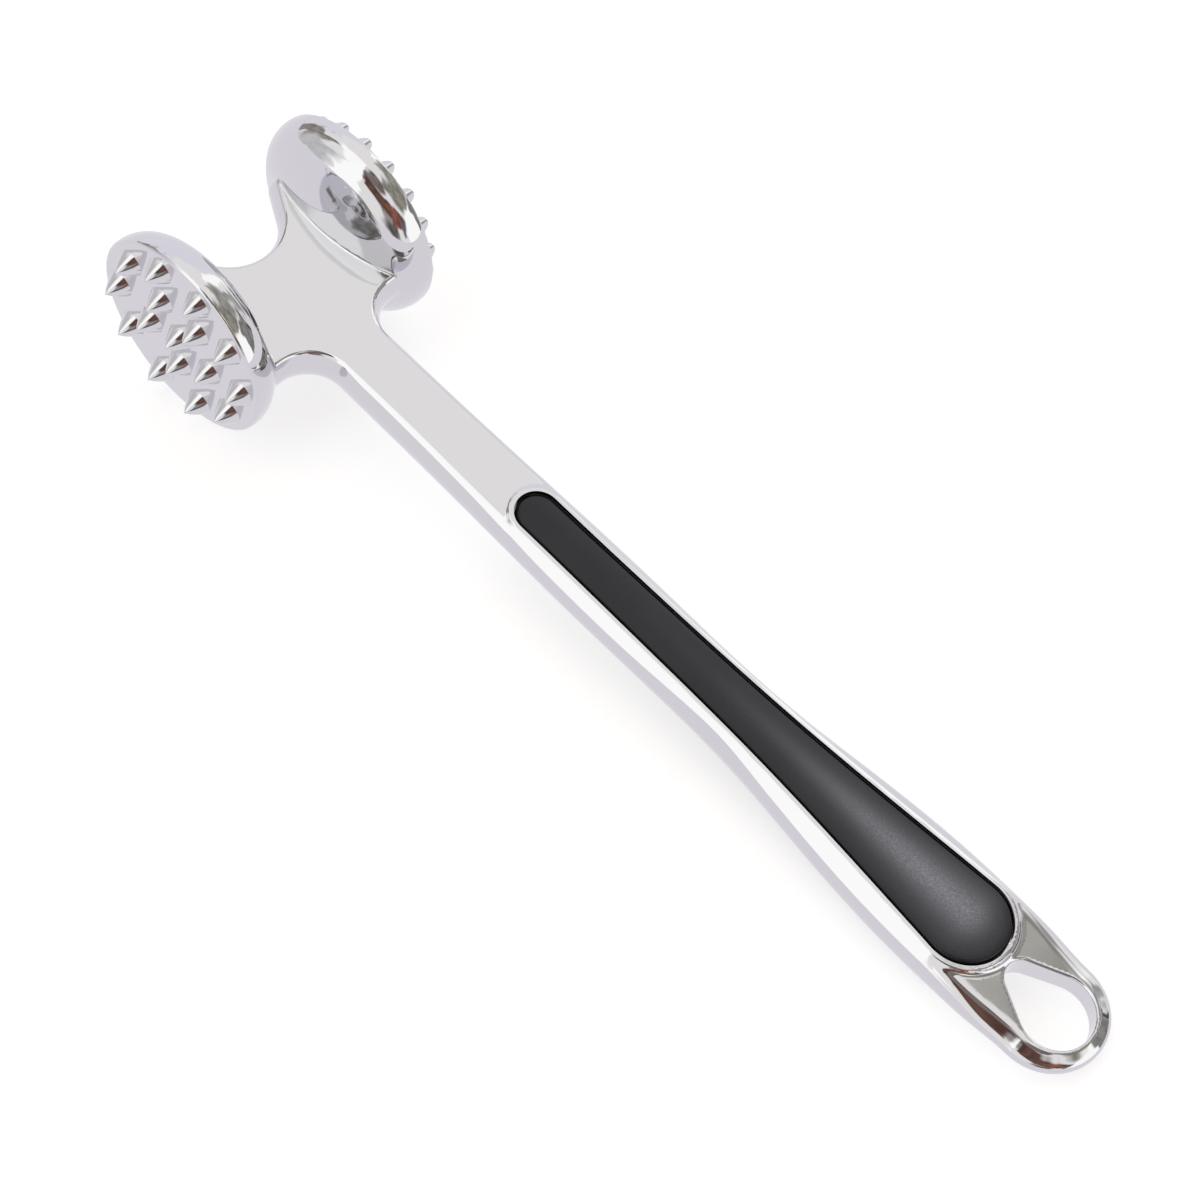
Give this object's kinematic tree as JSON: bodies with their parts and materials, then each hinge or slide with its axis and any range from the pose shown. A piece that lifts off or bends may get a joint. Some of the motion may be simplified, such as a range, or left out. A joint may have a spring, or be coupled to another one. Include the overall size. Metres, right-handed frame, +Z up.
{
  "type": "meat mallet",
  "caption": "Meat mallet: a chrome-plated casting with a coarse coned disc, a fine blunt-toothed disc, a flared handle with black soft-grip inlays and a hanging ring.",
  "frame": {"origin": "bottom centre of the bounding box, on the surface the mallet lies on, resting on both head rims and the rear inlay's wide end", "axes": "+X along the handle from the head to the hanging ring, +Y towards the fine-toothed disc, +Z up out of the front of the handle as the mallet lies at rest"},
  "size_m": [0.2464, 0.0552, 0.045],
  "materials": {
    "chrome_plate": "mirror-polished chrome plate over zinc casting",
    "soft_grip": "matte, fine moulded grain"
  },
  "bodies": {
    "root": {"body_casting": "chrome_plate", "front_grip_inlay": "soft_grip", "rear_grip_inlay": "soft_grip"}
  },
  "joints": []
}
